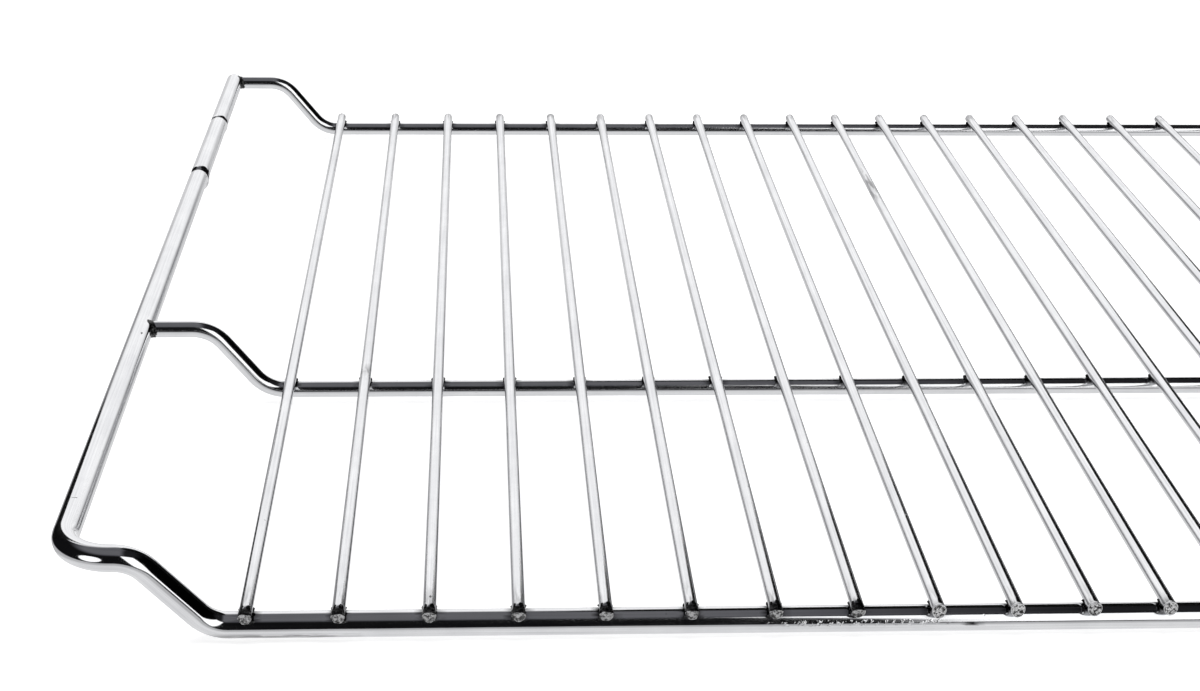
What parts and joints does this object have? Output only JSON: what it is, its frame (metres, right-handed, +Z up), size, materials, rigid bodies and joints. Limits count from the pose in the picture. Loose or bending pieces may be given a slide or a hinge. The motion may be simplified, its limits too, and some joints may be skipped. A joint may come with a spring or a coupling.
{
  "type": "oven shelf rack",
  "caption": "Chromed wire oven shelf: a thick bent frame with raised side rails and a low front rail, joggled crosswires, and straight bars welded on front to back to carry dishes.",
  "frame": {"origin": "on the surface that the rack rests on, under the middle of its outline", "axes": "+X to the right along the front rail, +Y from the front rail to the back, +Z up"},
  "size_m": [0.476, 0.384, 0.0245],
  "materials": {
    "chromed_wire": "bright chrome plate over drawn steel wire, with dark scale at the welds"
  },
  "bodies": {
    "root": {"frame_wire": "chromed_wire", "middle_crosswire": "chromed_wire", "rear_crosswire": "chromed_wire", "bar_01": "chromed_wire", "bar_02": "chromed_wire", "bar_03": "chromed_wire", "bar_04": "chromed_wire", "bar_05": "chromed_wire", "bar_06": "chromed_wire", "bar_07": "chromed_wire", "bar_08": "chromed_wire", "bar_09": "chromed_wire", "bar_10": "chromed_wire", "bar_11": "chromed_wire", "bar_12": "chromed_wire", "bar_13": "chromed_wire", "bar_14": "chromed_wire", "bar_15": "chromed_wire", "bar_16": "chromed_wire", "bar_17": "chromed_wire", "bar_18": "chromed_wire", "bar_19": "chromed_wire", "bar_20": "chromed_wire", "bar_21": "chromed_wire", "bar_22": "chromed_wire"}
  },
  "joints": []
}
